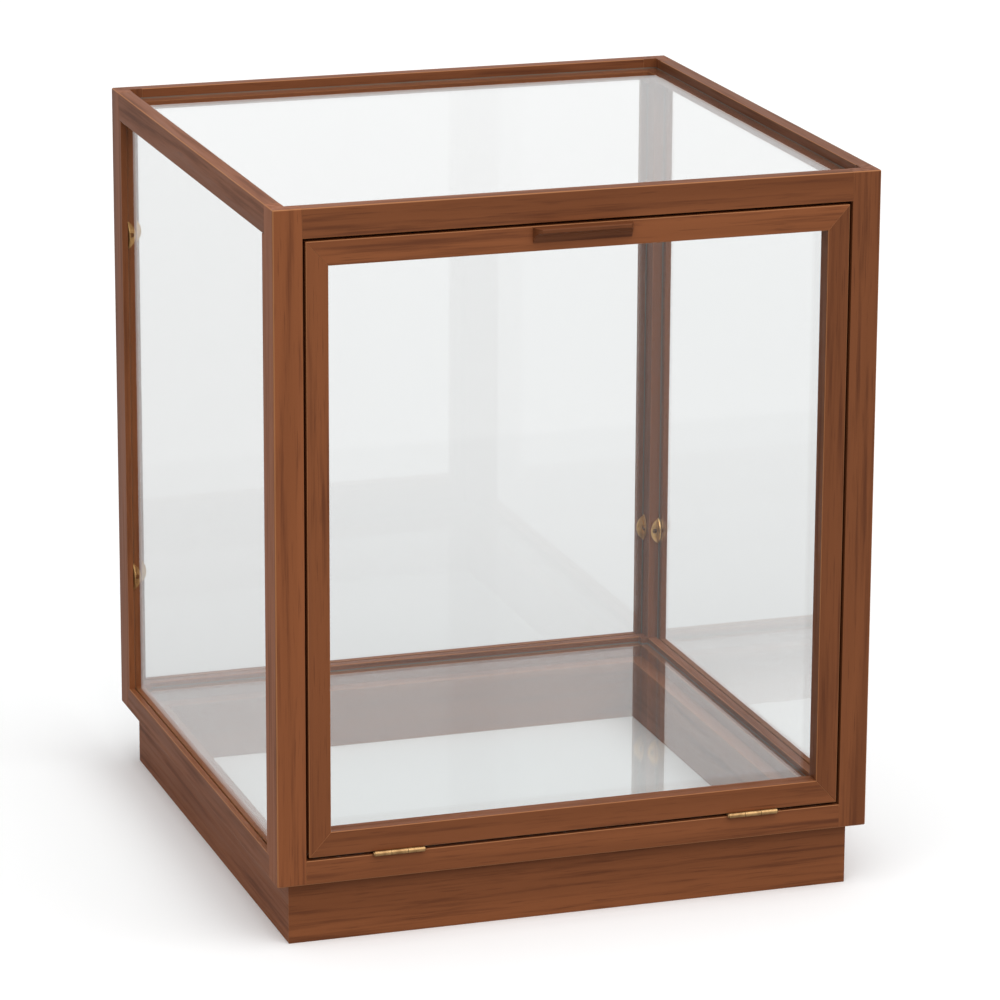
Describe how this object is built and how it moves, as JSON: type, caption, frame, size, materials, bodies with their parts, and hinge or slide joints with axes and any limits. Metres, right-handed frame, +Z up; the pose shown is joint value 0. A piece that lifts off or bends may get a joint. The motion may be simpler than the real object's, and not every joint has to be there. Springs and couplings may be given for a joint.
{
  "type": "glazed display case",
  "caption": "Square glazed wooden display case on a recessed plinth, with a framed glass front door that drops forward on brass butt hinges along its bottom edge.",
  "frame": {"origin": "on the ground under the middle of the whole footprint, with the pull included", "axes": "+Z up, -Y out of the front where the door and its pull are, +X to the right seen from the front"},
  "size_m": [0.4, 0.409, 0.48],
  "materials": {
    "walnut": "walnut stain under satin lacquer",
    "glass": "clear float glass with polished edges",
    "brass": "satin brass",
    "steel": "bright nickel plating"
  },
  "bodies": {
    "case": {"post_front_left": "walnut", "post_front_right": "walnut", "post_back_left": "walnut", "post_back_right": "walnut", "top_rail_front": "walnut", "top_rail_right": "walnut", "top_rail_back": "walnut", "top_rail_left": "walnut", "bottom_rail_front": "walnut", "bottom_rail_right": "walnut", "bottom_rail_back": "walnut", "bottom_rail_left": "walnut", "plinth_front": "walnut", "plinth_right": "walnut", "plinth_back": "walnut", "plinth_left": "walnut", "glass_right": "glass", "glass_back": "glass", "glass_left": "glass", "glass_top": "glass", "glass_floor": "glass", "hinge_left_case_leaf": "brass", "hinge_left_pin": "brass", "hinge_right_case_leaf": "brass", "hinge_right_pin": "brass", "clip_left_side_pane_lower": "brass", "clip_left_back_pane_lower": "brass", "clip_left_side_pane_upper": "brass", "clip_left_back_pane_upper": "brass", "clip_right_side_pane_lower": "brass", "clip_right_back_pane_lower": "brass", "clip_right_side_pane_upper": "brass", "clip_right_back_pane_upper": "brass", "catch_magnet": "steel"},
    "door": {"door_rail_bottom": "walnut", "door_stile_right": "walnut", "door_rail_top": "walnut", "door_stile_left": "walnut", "door_pull": "walnut", "door_bead_bottom": "walnut", "door_bead_right": "walnut", "door_bead_top": "walnut", "door_bead_left": "walnut", "door_glass": "glass", "hinge_left_door_leaf": "brass", "hinge_right_door_leaf": "brass", "catch_strike": "steel"}
  },
  "joints": [
    {"name": "door_hinge", "type": "hinge", "parent": "case", "child": "door", "pos_m": [0, -0.19728, 0.059], "axis": [1, 0, 0], "range_deg": [0, 95]}
  ]
}
